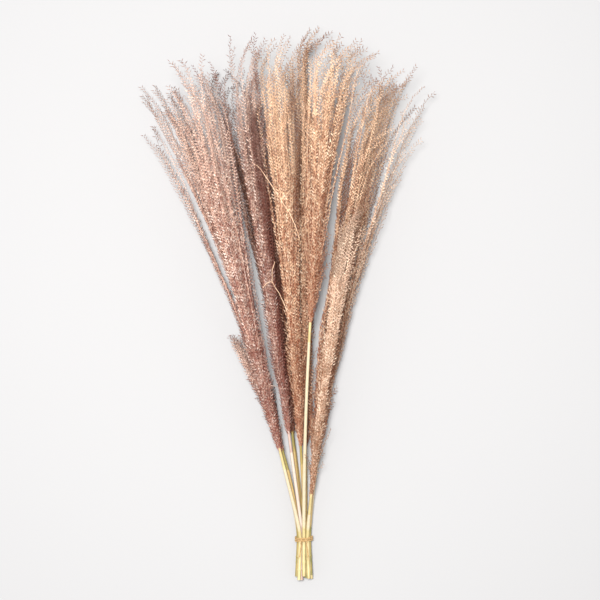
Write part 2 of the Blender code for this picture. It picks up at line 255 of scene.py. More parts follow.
def cane_finish(name, straw, shaded_straw, sheath, pith, speck, roughness):
    """The skin of a stem, and the pith at its cut."""
    material, tree, shader = new_material(name)
    place = add(tree, "ShaderNodeTexCoord", {}, {}).outputs["Object"]
    lengthwise = add(tree, "ShaderNodeMapping", {}, {"Vector": place, "Scale": (1, FIBRE_STRETCH, 1)})
    streaks = add(tree, "ShaderNodeTexNoise", {}, {
        "Vector": lengthwise, "Scale": FIBRES, "Detail": 3.0, "Roughness": 0.6})
    patches = add(tree, "ShaderNodeTexNoise", {}, {
        "Vector": place, "Scale": SHADE_PATCHES, "Detail": 4.0})
    patchy = add(tree, "ShaderNodeMapRange", {}, {"Value": patches, "From Min": 0.38, "From Max": 0.66})
    wrapped, cut = [
        add(tree, "ShaderNodeAttribute", {"attribute_name": key}, {}).outputs["Fac"]
        for key in ("sheath", "pith")]
    colour = linear(straw)
    # Painted shade: the shaded straw colour is laid over the stem in patches
    for factor, shown in ((patchy, shaded_straw), (wrapped, sheath)):
        colour = add(tree, "ShaderNodeMix", {"data_type": "RGBA"}, {
            "Factor": factor, "A": colour, "B": linear(shown)})
    lit = add(tree, "ShaderNodeMapRange", {}, {
        "Value": streaks, "From Min": 0.3, "From Max": 0.7, "To Min": 0.70, "To Max": 1.06})
    colour = add(tree, "ShaderNodeVectorMath", {"operation": "SCALE"}, {"Vector": colour, "Scale": lit})
    long_specks = add(tree, "ShaderNodeMapping", {}, {"Vector": place, "Scale": (1, SPECK_STRETCH, 1)})
    specks = add(tree, "ShaderNodeTexNoise", {}, {
        "Vector": long_specks, "Scale": SPECKS, "Detail": 2.0})
    speckled = add(tree, "ShaderNodeMapRange", {}, {
        "Value": specks, "From Min": 0.66, "From Max": 0.74, "To Min": 0.0, "To Max": 0.7})
    for factor, shown in ((speckled, speck), (cut, pith)):
        colour = add(tree, "ShaderNodeMix", {"data_type": "RGBA"}, {
            "Factor": factor, "A": colour, "B": linear(shown)})
    ridges = add(tree, "ShaderNodeBump", {}, {
        "Height": streaks, "Strength": 0.35, "Distance": RIDGE_HEIGHT})
    tree.links.new(result(colour), shader.inputs["Base Color"])
    tree.links.new(ridges.outputs["Normal"], shader.inputs["Normal"])
    shader.inputs["Roughness"].default_value = roughness
    return material


cane_finishes = {
    "straw": cane_finish("dry_straw_pale", "#CDBB88", "#B4A069", "#C9B99B", "#EDE0C2", "#8B6A3F", 0.40),
    "olive": cane_finish("dry_straw_olive", "#A38B4E", "#737035", "#B0955F", "#E6D8B0", "#5A4524", 0.42),
    "mauve": cane_finish("dry_straw_mauve", "#C2A798", "#A2837A", "#CDBBAC", "#E9DBC8", "#7A5748", 0.44),
}

for number, stem in enumerate(STEMS, 1):
    joint = -JOINT_PLACE * stem.cut + JOINT_STEP * (number % 3)
    steps = int((stem.base + INTO_PLUME + stem.cut) / STEM_STEP)
    heights = [-stem.cut + STEM_STEP * step for step in range(steps + 1)]
    rings = range(-JOINT_RINGS, JOINT_RINGS + 1)
    heights += [joint + JOINT_LENGTH * ring / JOINT_RINGS for ring in rings]
    sheath_top = stem.base - SHEATH_END
    heights += [sheath_top - SHEATH_EDGE, sheath_top]
    heights = sorted(set(heights))
    radii = []
    sheath = []
    for height in heights:
        share = min(max(height, 0) / stem.base, 1)
        radius = STEM_RADIUS + (STEM_TOP_RADIUS - STEM_RADIUS) * share
        swelling = math.exp(-((height - joint) / (JOINT_LENGTH / 2)) ** 2)
        wrapped = WAIST < height < sheath_top
        radii.append(radius * (1 + JOINT_SWELL * swelling) + SHEATH_THICKNESS * wrapped)
        sheath.append(1.0 * wrapped)
    points = [in_space(height, middle(stem, height)) for height in heights]
    name = f"stem_{number:02d}"
    piece = strands(name + "_cane", [points], {"thickness": radii, "sheath": sheath})
    grown(piece, cane_tree, cane_finishes[stem.straw], {})
    piece.data.shade_smooth()
    piece.data.set_sharp_from_angle(angle=CREASE)
    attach(piece, "root")
    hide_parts(name)

# The tie. Three turns of three-ply jute twine, twisted from coarse golden brown fibres, with the
# ends drawn into a reef knot on top. They were cut with scissors and have begun to fray, and
# loose fibres stand off all along.
TURNS = 3
TURN_PITCH = 0.00215
POINTS_IN_TURN = 48
FREE_OF_TURNS = 6  # of those points at each end, where the twine rises to the knot
KNOTTED = 0.86  # how thick the twine is in the knot, where it is drawn tight
KNOT_LOW = 0.0018  # above the middle of the turns, where one strand passes under the other
KNOT_HIGH = 0.0034  # the same where it passes over
LOOSE_END = 0.024  # how far a loose end lies down the stems
LOOSE_STEPS = (0.28, 0.45, 0.62, 0.8, 1.0)  # shares of that length, where its points are
LOOSE_SPREAD = 0.006  # how far aside its tip lies
LOOSE_RISE = 0.0012  # how far it stands off the stems where it leaves the knot
FRAYED = 18  # fibres at each end
FRAY_LENGTH = (0.002, 0.0055)
FRAY_START = 0.001  # how far inside the end they begin
FRAY_ANGLE = 0.6
FRAY_STRAY = (1, 0.4, 0.6)  # how much of this they turn across, along and up
FRAY_STEPS = 3
ABOVE_TABLE = 0.0002  # the least height of anything over the table

# Half of the reef knot's right strand, seen from above in millimetres: across, along the stems,
# and how high it runs, from 0 where it passes under the other strand to 1 where it passes over.
REEF = ((3.3, 0.90, 0.9), (2.5, 0.85, 1.0), (1.2, 1.25, 0.5), (0.0, 1.60, 0.0),
        (-1.2, 2.00, 0.5), (-2.2, 1.90, 0.9), (-2.9, 1.00, 1.0), (-3.1, 0.0, 1.0))
# The way from the knot out along the stems, for the right end, in the same way.
WAY_OUT = ((4.0, -1.7, 0.7), (4.2, -3.4, 0.5))


def above_stems(height):
    """How high the middle of a twine lies that rests on the top row of stems."""
    top_row = (len(STEMS_IN_ROW) - 1) * ROW_PITCH * spread_below(height)
    return LOWEST_ROW + top_row + TWINE_OFFSET


def wound_twine():
    """The middle line of the turns, from on top: it runs from stem to stem round the bunch."""
    places = [packed_place(stem) for stem in STEMS]
    points = []
    for step in range(FREE_OF_TURNS, TURNS * POINTS_IN_TURN - FREE_OF_TURNS + 1):
        turned = step / POINTS_IN_TURN
        angle = math.tau * (0.25 + turned)
        outward = Vector((math.cos(angle), math.sin(angle)))
        carrier = max(places, key=outward.dot)
        points.append(in_space((turned - TURNS / 2) * TURN_PITCH, carrier + outward * TWINE_OFFSET))
    return points


def knot_strand(side):
    """One strand from where it enters the knot to the tip of its loose end."""
    back = [(across, -along, over) for across, along, over in reversed(REEF[:-1])]
    points = []
    for across, along, over in [*REEF, *back, *WAY_OUT]:
        over = over if side > 0 else 1 - over
        lift = KNOT_LOW + (KNOT_HIGH - KNOT_LOW) * over
        points.append(Vector((side * across / 1000, along / 1000, above_stems(0) + lift)))
    for share in LOOSE_STEPS:
        height = -LOOSE_END * share
        across = side * LOOSE_SPREAD * (0.5 + 0.5 * share)
        points.append(Vector((across, height, above_stems(height) + LOOSE_RISE * (1 - share))))
    return points


def frayed_end(strand, chance):
    """Loose fibres that spread from the cut end of a strand."""
    tip = strand[-1]
    onwards = (tip - strand[-2]).normalized()
    fibres = []
    start = tip - onwards * FRAY_START
    shares = [step / FRAY_STEPS for step in range(FRAY_STEPS + 1)]
    for _ in range(FRAYED):
        stray = Vector([chance.gauss(0, most) for most in FRAY_STRAY]) * FRAY_ANGLE
        length = chance.uniform(*FRAY_LENGTH)
        fibres.append([start + (onwards + stray * share) * length * share for share in shares])
    return fibres


chance = random.Random(7)
left = knot_strand(-1)
right = knot_strand(1)
turns = wound_twine()
twine_path = [*reversed(left), *turns, *right]
fibres = frayed_end(left, chance) + frayed_end(right, chance)
in_knot = [KNOTTED] * len(left)
slack = [1.0] * len(turns)
loose = [point for fibre in fibres for point in fibre]
guide = strands("tie_twine", [twine_path] + fibres, {
    "thickness": [*in_knot, *slack, *in_knot, *[1.0] * len(loose)],
    "loose": [0.0] * len(twine_path) + [1.0] * len(loose)})

# Three plies, wound round the twine's middle line
twine_tree, twine_size = new_tree("Twisted twine", {
    "Plies": 3, "Ply radius": 0.00048, "Ply offset": 0.00050, "Twist pitch": 0.0062,
    "Step": 0.0004, "Fibre radius": 0.00004, "Fuzz for each square metre": 110000.0,
    "Fuzz length": 0.0022, "Seed": 3})
paths = add(twine_tree, "GeometryNodeMeshToCurve", {}, {"Mesh": twine_size["Guide"]})
is_loose, drawn = [
    add(twine_tree, "GeometryNodeInputNamedAttribute", {"data_type": "FLOAT"}, {"Name": key})
    for key in ("loose", "thickness")]
kinds = add(twine_tree, "GeometryNodeSeparateGeometry", {"domain": "CURVE"}, {
    "Geometry": paths, "Selection": is_loose})
smooth = add(twine_tree, "GeometryNodeCurveSplineType", {"spline_type": "CATMULL_ROM"}, {
    "Curve": kinds.outputs["Inverted"]})
even = add(twine_tree, "GeometryNodeResampleCurve", {"mode": "LENGTH"}, {
    "Curve": smooth, "Length": twine_size["Step"]})
plies = add(twine_tree, "GeometryNodeDuplicateElements", {"domain": "SPLINE"}, {
    "Geometry": even, "Amount": twine_size["Plies"]})
factor = add(twine_tree, "GeometryNodeSplineParameter", {}, {})
turn_rate = add(twine_tree, "ShaderNodeMath", {"operation": "DIVIDE"}, {
    "Value": math.tau, "Value_001": twine_size["Twist pitch"]})
third = add(twine_tree, "ShaderNodeMath", {"operation": "DIVIDE"}, {
    "Value": math.tau, "Value_001": twine_size["Plies"]})
first = add(twine_tree, "ShaderNodeMath", {"operation": "MULTIPLY"}, {
    "Value": plies.outputs["Duplicate Index"], "Value_001": third})
angle = add(twine_tree, "ShaderNodeMath", {"operation": "MULTIPLY_ADD"}, {
    "Value": factor.outputs["Length"], "Value_001": turn_rate, "Value_002": first})
normal = add(twine_tree, "GeometryNodeInputNormal", {}, {})
tangent = add(twine_tree, "GeometryNodeInputTangent", {}, {})
round_twine = add(twine_tree, "ShaderNodeVectorRotate", {"rotation_type": "AXIS_ANGLE"}, {
    "Vector": normal, "Axis": tangent, "Angle": angle})
ply_offset = add(twine_tree, "ShaderNodeMath", {"operation": "MULTIPLY"}, {
    "Value": drawn, "Value_001": twine_size["Ply offset"]})
outward = add(twine_tree, "ShaderNodeVectorMath", {"operation": "SCALE"}, {
    "Vector": round_twine, "Scale": ply_offset})
twisted = add(twine_tree, "GeometryNodeSetPosition", {}, {"Geometry": plies, "Offset": outward})
section = add(twine_tree, "GeometryNodeCurvePrimitiveCircle", {"mode": "RADIUS"}, {
    "Resolution": 7, "Radius": twine_size["Ply radius"]})
plied = add(twine_tree, "GeometryNodeCurveToMesh", {}, {
    "Curve": twisted, "Profile Curve": section, "Scale": drawn, "Fill Caps": True})

# The fibres of the frayed ends, and bent ones that stand off the plies
thin = add(twine_tree, "GeometryNodeCurvePrimitiveCircle", {"mode": "RADIUS"}, {
    "Resolution": 3, "Radius": twine_size["Fibre radius"]})
fray = add(twine_tree, "GeometryNodeCurveToMesh", {}, {
    "Curve": kinds.outputs["Selection"], "Profile Curve": thin, "Fill Caps": True})
half = add(twine_tree, "ShaderNodeMath", {"operation": "MULTIPLY"}, {
    "Value": twine_size["Fuzz length"], "Value_001": 0.5})
aside = add(twine_tree, "ShaderNodeCombineXYZ", {}, {"X": half, "Z": half})
ending = add(twine_tree, "ShaderNodeCombineXYZ", {}, {
    "X": twine_size["Fuzz length"], "Y": half, "Z": half})
bent = add(twine_tree, "GeometryNodeCurveQuadraticBezier", {}, {
    "Resolution": 4, "Start": (0, 0, 0), "Middle": aside, "End": ending})
hair = add(twine_tree, "GeometryNodeCurveToMesh", {}, {
    "Curve": bent, "Profile Curve": thin, "Fill Caps": True})
places = add(twine_tree, "GeometryNodeDistributePointsOnFaces", {"distribute_method": "RANDOM"}, {
    "Mesh": plied, "Density": twine_size["Fuzz for each square metre"],
    "Seed": twine_size["Seed"]})
swing = add(twine_tree, "FunctionNodeRandomValue", {"data_type": "FLOAT_VECTOR"}, {
    "Min": (-0.9, -0.9, -3.14), "Max": (0.9, 0.9, 3.14), "Seed": twine_size["Seed"]})
stance = add(twine_tree, "FunctionNodeRotateRotation", {"rotation_space": "LOCAL"}, {
    "Rotation": places.outputs["Rotation"], "Rotate By": swing})
luck = add(twine_tree, "FunctionNodeRandomValue", {"data_type": "FLOAT"}, {
    "Min": 0.4, "Max": 1.2, "Seed": twine_size["Seed"]})
fuzz = add(twine_tree, "GeometryNodeInstanceOnPoints", {}, {
    "Points": places, "Instance": hair, "Rotation": stance, "Scale": luck})
loose_fibres = twine_tree.nodes.new("GeometryNodeJoinGeometry")
for source in (fray, fuzz):
    twine_tree.links.new(source.outputs[0], loose_fibres.inputs["Geometry"])
single = add(twine_tree, "GeometryNodeRealizeInstances", {}, {"Geometry": loose_fibres})
marked = add(twine_tree, "GeometryNodeStoreNamedAttribute", {"data_type": "FLOAT", "domain": "POINT"}, {
    "Geometry": single, "Name": "fibre", "Value": 1.0})

# All of it together, with nothing lower than the table
together = twine_tree.nodes.new("GeometryNodeJoinGeometry")
for source in (plied, marked):
    twine_tree.links.new(source.outputs[0], together.inputs["Geometry"])
place = add(twine_tree, "GeometryNodeInputPosition", {}, {})
parts = add(twine_tree, "ShaderNodeSeparateXYZ", {}, {"Vector": place})
lifted = add(twine_tree, "ShaderNodeMath", {"operation": "MAXIMUM"}, {
    "Value": parts.outputs["Z"], "Value_001": ABOVE_TABLE})
on_table = add(twine_tree, "ShaderNodeCombineXYZ", {}, {
    "X": parts.outputs["X"], "Y": parts.outputs["Y"], "Z": lifted})
resting = add(twine_tree, "GeometryNodeSetPosition", {}, {"Geometry": together, "Position": on_table})
dressed = add(twine_tree, "GeometryNodeSetMaterial", {}, {
    "Geometry": resting, "Material": twine_size["Finish"]})
whole = add(twine_tree, "GeometryNodeRealizeInstances", {}, {"Geometry": dressed})
add(twine_tree, "NodeGroupOutput", {}, {"Result": whole})

# Spun jute: coarse, dry and matt golden brown fibres, darker where dust has settled on them. The
# loose ones let light through and look paler. The counts are for each metre: the fibres are
# 0.3 mm apart, coarser than real ones, to show at this size, and the dusty patches 4 mm.
JUTE_FIBRES = 3500.0
JUTE_PATCHES = 260.0
JUTE_BUMP = 0.0002
jute, tree, shader = new_material("jute_twine")
place = add(tree, "ShaderNodeTexCoord", {}, {}).outputs["Object"]
grain = add(tree, "ShaderNodeTexNoise", {}, {"Vector": place, "Scale": JUTE_FIBRES, "Detail": 2.0})
patches = add(tree, "ShaderNodeTexNoise", {}, {"Vector": place, "Scale": JUTE_PATCHES, "Detail": 3.0})
streaky = add(tree, "ShaderNodeMapRange", {}, {"Value": grain, "From Min": 0.35, "From Max": 0.65})
dusty = add(tree, "ShaderNodeMapRange", {}, {
    "Value": patches, "From Min": 0.45, "From Max": 0.75, "To Min": 0.0, "To Max": 0.5})
is_fibre = add(tree, "ShaderNodeAttribute", {"attribute_name": "fibre"}, {}).outputs["Fac"]
colour = linear("#8F6A3B")
for factor, shade in ((streaky, "#D2B17C"), (dusty, "#7A5730"), (is_fibre, "#D9BF92")):
    colour = add(tree, "ShaderNodeMix", {"data_type": "RGBA"}, {
        "Factor": factor, "A": colour, "B": linear(shade)})
rough = add(tree, "ShaderNodeBump", {}, {
    "Height": grain, "Strength": 0.6, "Distance": JUTE_BUMP})
tree.links.new(result(colour), shader.inputs["Base Color"])
tree.links.new(rough.outputs["Normal"], shader.inputs["Normal"])
shader.inputs["Roughness"].default_value = 0.85

piece = grown(guide, twine_tree, jute, {})
piece.data.shade_smooth()
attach(piece, "root")
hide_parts("tie")

# The plumes. Each is the flower head of one stem: a slim axis with long thin racemes, which
# carry small husked seeds in pairs, pressed close low down and standing off near the tips.
# Drying has turned them from silver to mauve, brown, copper and beige.
TAIL_RADIUS = 0.0058  # of the narrow lower part of a plume
# The same for the plumes with a fuller foot, by the row and place of their stems
WIDE_FOOT = {(0, 1): 0.0115, (1, 1): 0.0105, (1, 2): 0.0100, (2, 3): 0.0125}
BARE_ROOM = 0.0035  # kept round a bare stem by the plumes beside it
ROOTS_OVER = 0.50  # share of the plume over which racemes leave its axis
ROOTS_LOW = 1.3  # how much closer together they leave it low down
TIPS_OVER = 0.32  # share of the plume over which they end
TIPS_HIGH = 1.35  # how much closer together they end near its tip
FULL_TOP = {9: 0.85, 10: 0.55, 11: 0.85, 13: 0.75}  # share of TIPS_OVER that full-topped plumes have
RACEMES_FOR_ONE = 3.8  # fine racemes for each strand that the solids have
SPARSE = {3: 0.55, 4: 0.24, 7: 0.3}  # share of them that the loosest plumes, at the sides, have
SLIM = {4: 0.55}  # share of its room that the loosest of them fills
LOW_SHARE = 1.0  # short racemes that thicken the plume's foot, for each long one
LOW_LENGTH = 0.24  # share of the plume's length that these fill
LOW_RUN = (0.4, 0.8)  # share of that length that one of them takes
LOW_REACH = (0.3, 1)  # share of the plume's radius that it reaches
LOW_CROWDED = 1.4  # how much closer together they leave the axis at the foot itself
GOLDEN_ANGLE = math.radians(137.5)
SPREAD_OVER = 0.09  # length over which a raceme gets two thirds of the way to its place
LOW_SPREAD_OVER = 0.012  # the same for the short ones at the foot
NOD_FROM = (0.82, 0.95)  # share of a raceme's length where its tip starts to nod
NOD = (0.5, 1.7)  # how far its tip turns over, in radians
NOD_TURNS = 0.13  # plumes further to the left than this nod to the left
LEFT_NOD = 0.55  # and only so much, as a share of the others' nod
NOD_OUT = 0.9  # share of the racemes that nod outwards, and not inwards
NOD_RISE = (-0.3, 0.4)  # how far down or up they nod, for each step outwards
STAND_OFF = 0.0018  # how far the seeds reach past the outermost raceme
WIDEST = 0.044  # spread of the widest plume, whose racemes nod most
LEAST_NOD = 0.55  # share of its nod that even the slimmest plume has
SWAY = 0.0030  # how far a raceme waves from side to side
WAVE_LENGTH = (0.09, 0.18)
TIP_ROOM = 0.016  # how far above its tip a plume still keeps its room
CLEARANCE = (-0.009, 0.0020)  # of a raceme in its plume's room; below 0, it reaches out of it
DRIFT = 0.0045  # how far a raceme strays from its neighbours at its tip
# How far out the racemes lean at the left of these plumes, by the row and place of their stems
FANNED = {(0, 0): 0.018, (3, 0): 0.005}
WINDS_ROUND = 1.2  # how far round the plume a raceme winds on its way up, in radians
LYING = 0.0012  # height of a raceme's middle where it lies on the table
SETTLES_FROM = 0.145  # height above which the uppermost racemes have sunk under their weight
SETTLED = 0.75  # to this share of their height above it
RACEME_POINTS = 30
LOW_POINTS = 8  # of a short one
RACEME_RADII = (0.00030, 0.00012)  # at its root and at its tip
AXIS_RADII = (0.0016, 0.0004)
AXIS_SHARE = 0.72  # share of the plume's length over which its axis can be followed
SEED_ROLL = 50  # how far a raceme's rows of seeds are turned round it, in degrees
# A raceme's tint runs from about 0, deep in colour, to 1, pale. It holds the raceme's own tone,
# with painted light on the lit side of its plume and painted shade along the shade lines
MEAN_TINT = 0.5
TINT_VARIES = 0.34
LIT_SIDE_PALER = 0.55  # painted light: how much paler racemes are painted on the side of a plume that faces the light
LIT_SIDE = (-0.6, 0.8)  # that side, across and up
# How much deeper in colour these plumes are, or less where it is below 0: partly each plume's own
# tone, and partly painted shade on plumes that lie under others and on the thin strand at the left
TONE_AND_SHADE = {1: -0.12, 2: 0.36, 4: 0.7, 5: 0.6, 6: 0.3, 8: 0.2,
        9: 0.3, 10: -0.12, 11: 0.12, 12: -0.06, 13: -0.05}


def reach(stem, height):
    """How far from its middle line the stem reaches at this height, left to itself."""
    share = (height - stem.base) / (stem.tip - stem.base)
    if share < 0:
        return BARE_ROOM
    foot = WIDE_FOOT.get((stem.row, stem.place), TAIL_RADIUS)
    return foot + (stem.spread - foot) * min(share, 1)


def kept_in_room(stem, height, offset, clearance):
    """The offset from a plume's middle line, shortened where it would enter a neighbour's room."""
    here = middle(stem, height)
    for other in STEMS:
        if other is stem or height > other.tip + TIP_ROOM:
            continue
        gap = middle(other, height) - here
        share = reach(stem, height) / (reach(stem, height) + reach(other, height))
        room = max(gap.length * share - clearance, 0)
        towards = offset.dot(gap.normalized())
        if towards > room:
            offset = offset * (room / towards)
    return Vector((offset.x, max(here.y + offset.y, LYING) - here.y))


PARTING_TAPER = 1.3  # above 1, a parting is slimmer towards its ends
PARTING_PUSH = 1.15  # a raceme is set a little further back than the edge that it crossed
PARTING_END = 0.2  # share of a parting at each end, over which it takes hold
# Where the plumes have parted and the table shows between them: each parting's lower and upper
# end, across and along the bundle, and how wide its middle is open, all in millimetres
PARTINGS = (
    ((28, 296), (53, 540), 5.5),
    ((2, 300), (4, 390), 2.0),
    ((-56, 585), (-65, 665), 4.5),
    ((7, 570), (4, 690), 4.0),
    ((-31, 150), (-71, 420), 2.5),
    ((-69, 270), (-185, 550), 13.0),
    ((67, 360), (136, 590), 5.0),
)

SHADE_LINE_WIDTH = 0.0055  # to each side of a painted shade line, where a third of its depth is left
SHADE_LINE_DEPTH = 0.85  # how far the tint is lowered on it, as painted shade
# Painted shade: lines on the bunch where the racemes lie crowded in each other's shade, and their
# tint is lowered to paint that shade in. From the tips down, across and along it in millimetres
PAINTED_SHADE_LINES = (
    ((-68, 580), (-62, 510), (-54, 456), (-45, 401), (-33, 347), (-30, 292), (-25, 225)),
    ((-23, 645), (-14, 600), (-9, 560), (-8, 500), (-9, 435)),
    ((66, 570), (62, 510), (46, 400), (40, 360)),
)


def painted_shade(across, height):
    """How far a raceme's tint is lowered here by painted shade."""
    deepest = 0
    for line in PAINTED_SHADE_LINES:
        for high, low in zip(line, line[1:]):
            along = (height * 1000 - low[1]) / (high[1] - low[1])
            if 0 <= along < 1:
                aside = across - (low[0] + (high[0] - low[0]) * along) / 1000
                deepest = max(deepest, SHADE_LINE_DEPTH * math.exp(-(aside / SHADE_LINE_WIDTH) ** 2))
    return deepest


def parted(across, height, own):
    """Keeps a raceme on its own plume's side of the partings."""
    for low, high, opening in PARTINGS:
        along = (height * 1000 - low[1]) / (high[1] - low[1])
        if 0 < along < 1:
            line = (low[0] + (high[0] - low[0]) * along) / 1000
            side = 1 if own > line else -1
            edge = opening / 2000 * math.sin(math.pi * along) ** PARTING_TAPER
            beyond = edge - (across - line) * side
            if beyond > 0:
                eased = min(1, along / PARTING_END, (1 - along) / PARTING_END)
                across += side * beyond * PARTING_PUSH * eased
    return across


def raceme(stem, direction, share, root, end, chance,
           spread_over=SPREAD_OVER, steps=RACEME_POINTS):
    """One thin branch: it leaves the axis, runs up beside it and nods over at its tip."""
    length = stem.tip - stem.base
    start = stem.base + length * root
    run = length * (end - root)
    winding = chance.uniform(-1, 1) * WINDS_ROUND
    wave = Vector((chance.uniform(-1, 1), chance.uniform(-1, 1))) * SWAY
    wave_length = chance.uniform(*WAVE_LENGTH)
    phase = chance.uniform(0, math.tau)
    drift = Vector((chance.gauss(0, 1), chance.gauss(0, 1))) * DRIFT
    leftwards = max(-math.cos(direction), 0)
    fan = Vector((-FANNED.get((stem.row, stem.place), 0) * share * leftwards, 0))
    clearance = chance.uniform(*CLEARANCE)
    nod_from = chance.uniform(*NOD_FROM)
    nod = chance.uniform(*NOD) * max(stem.spread / WIDEST, LEAST_NOD)
    side = 1
    if stem.lean < -NOD_TURNS:
        side = -1
        nod *= LEFT_NOD
    if chance.random() >= NOD_OUT:
        side = -side
    nod_way = Vector((side, chance.uniform(*NOD_RISE))).normalized()
    points = []
    for step in range(steps):
        along = step / (steps - 1)
        straight = min(along, nod_from)
        height = start + run * straight
        turned = direction + winding * (along - 0.5)
        away = Vector((math.cos(turned), math.sin(turned)))
        opened = 1 - math.exp(-run * straight / spread_over)
        spread = share * (reach(stem, height) - STAND_OFF) * opened
        sway = wave * math.sin(phase + math.tau * run * along / wave_length) * along
        strayed = drift * along**2 + fan * along**4  # both late, and the fan latest
        offset = kept_in_room(stem, height, away * spread + sway + strayed, clearance)
        # Its tip goes on over an arc, in the plane of nod_way
        turned = nod * max(along - nod_from, 0) / (1 - nod_from)
        bow = run * (1 - nod_from) / nod
        offset += nod_way * bow * (1 - math.cos(turned))
        height += bow * math.sin(turned)
        here = middle(stem, height)
        across = parted(here.x + offset.x, height, here.x)
        level = max(here.y + offset.y, LYING)
        if level > SETTLES_FROM:
            level = SETTLES_FROM + (level - SETTLES_FROM) * SETTLED
        points.append(in_space(height, Vector((across, level))))
    return points


BARE_RADIUS = 0.0004
BARE_TINT = 1.0
BARE_HEIGHT = 0.7  # share of the plume's height whose colours it has
PLUME_GIVES = 0.8  # share of a plume's radius at which a stalk comes to rest
RESTS_ABOVE = 0.001  # from there to the stalk's middle
# Racemes that broke and were stripped bare, now caught on top of the bunch: the plume that they
# belong to and the way they lie, across and along the bundle in millimetres, from the free end
STRAYS = (
    (10, ((-66.6, 514), (-63, 513), (-58, 508), (-45, 489),
          (-31, 467), (-19, 449), (-11, 431), (-4, 408))),
    (10, ((-39.4, 385), (-41, 379), (-43, 373), (-43, 358),
          (-39, 350), (-34, 343), (-26, 326), (-21, 311))),
    (10, ((-55, 350), (-52, 354), (-48, 357), (-44, 358), (-39, 352))),
    (9, ((-48, 219), (-44, 217), (-38, 215), (-31, 212), (-22, 211))),
)


def resting_on_top(across, height):
    """How high above the table something lies that rests on the plumes here."""
    highest = 0
    for stem in STEMS:
        here = middle(stem, height)
        room = reach(stem, height) * PLUME_GIVES
        aside = abs(across - here.x)
        if aside < room:
            highest = max(highest, here.y + math.sqrt(room**2 - aside**2))
    return highest + RESTS_ABOVE


def caught_stalk(number, way):
    """A bare stalk that lies over the plumes, with its last stretch tucked into its own plume."""
    heights = [resting_on_top(across / 1000, along / 1000) for across, along in way]
    level = [max(heights[max(step - 1, 0):step + 2]) for step in range(len(heights))]
    level[-1] = middle(STEMS[number - 1], way[-1][1] / 1000).y
    return [Vector((across / 1000, along / 1000, high)) for (across, along), high in zip(way, level)]


# The two seeds of a pair: which way round the raceme each faces, how widely it opens as a share
# of the tilt at its place, and how much further along it stands
SEED_PAIR = ((0.0, 1.0, 0.0), (math.pi, 0.9, 0.0014))
SEED_SWERVE = 1.0  # how far a seed may face another way, in radians
SEED_OPENING = (0.5, 1.5)  # the least and the most that a seed opens, as a share of that
SEED_SIZES = (0.75, 1.2)  # the least and the most that a seed grows
LARGER_LOW = (1.25, 0.9)  # times this at a raceme's root and at its tip
WIDEST_LOW = 1.3  # above 1, a seed is widest below its middle
PRESSED = (-0.003, 0.0015)  # what would lie between these heights is pressed flat on the table
plume_tree, plume_size = new_tree("Seeded plume", {
    "Spacing": 0.0043, "Seed length": 0.0056, "Seed width": 0.00135, "Flatness": 0.65,
    "Low tilt": math.radians(23), "High tilt": math.radians(46), "Seed": 0})
paths = add(plume_tree, "GeometryNodeMeshToCurve", {}, {"Mesh": plume_size["Guide"]})
paths = add(plume_tree, "GeometryNodeSetCurveNormal", {"mode": "Z_UP"}, {"Curve": paths})
thickness, seeded, along, roll = [
    add(plume_tree, "GeometryNodeInputNamedAttribute", {"data_type": "FLOAT"}, {"Name": key})
    for key in ("thickness", "seeded", "along", "roll")]
section = add(plume_tree, "GeometryNodeCurvePrimitiveCircle", {"mode": "RADIUS"}, {
    "Resolution": 3, "Radius": 1.0})
rods = add(plume_tree, "GeometryNodeCurveToMesh", {}, {
    "Curve": paths, "Profile Curve": section, "Scale": thickness, "Fill Caps": True})
rods = add(plume_tree, "GeometryNodeStoreNamedAttribute", {"data_type": "FLOAT", "domain": "POINT"}, {
    "Geometry": rods, "Name": "rod", "Value": 1.0})

# One seed, from a ball of six faces: pointed, flat and widest below its middle
ball = add(plume_tree, "GeometryNodeMeshUVSphere", {}, {"Segments": 3, "Rings": 2, "Radius": 1.0})
place = add(plume_tree, "GeometryNodeInputPosition", {}, {})
parts = add(plume_tree, "ShaderNodeSeparateXYZ", {}, {"Vector": place})
up = add(plume_tree, "ShaderNodeMapRange", {}, {"Value": parts.outputs["Z"], "From Min": -1.0})
up = add(plume_tree, "ShaderNodeMath", {"operation": "POWER"}, {
    "Value": up, "Value_001": WIDEST_LOW})
wide = add(plume_tree, "ShaderNodeMath", {"operation": "MULTIPLY"}, {
    "Value": plume_size["Seed width"], "Value_001": 0.5})
thick = add(plume_tree, "ShaderNodeMath", {"operation": "MULTIPLY"}, {
    "Value": wide, "Value_001": plume_size["Flatness"]})
across = add(plume_tree, "ShaderNodeMath", {"operation": "MULTIPLY"}, {
    "Value": parts.outputs["X"], "Value_001": wide})
deep = add(plume_tree, "ShaderNodeMath", {"operation": "MULTIPLY"}, {
    "Value": parts.outputs["Y"], "Value_001": thick})
high = add(plume_tree, "ShaderNodeMath", {"operation": "MULTIPLY"}, {
    "Value": up, "Value_001": plume_size["Seed length"]})
shape = add(plume_tree, "ShaderNodeCombineXYZ", {}, {"X": across, "Y": deep, "Z": high})
marked = add(plume_tree, "GeometryNodeStoreNamedAttribute", {"data_type": "FLOAT", "domain": "POINT"}, {
    "Geometry": ball, "Name": "ripe", "Value": up})
spikelet = add(plume_tree, "GeometryNodeSetPosition", {}, {"Geometry": marked, "Position": shape})

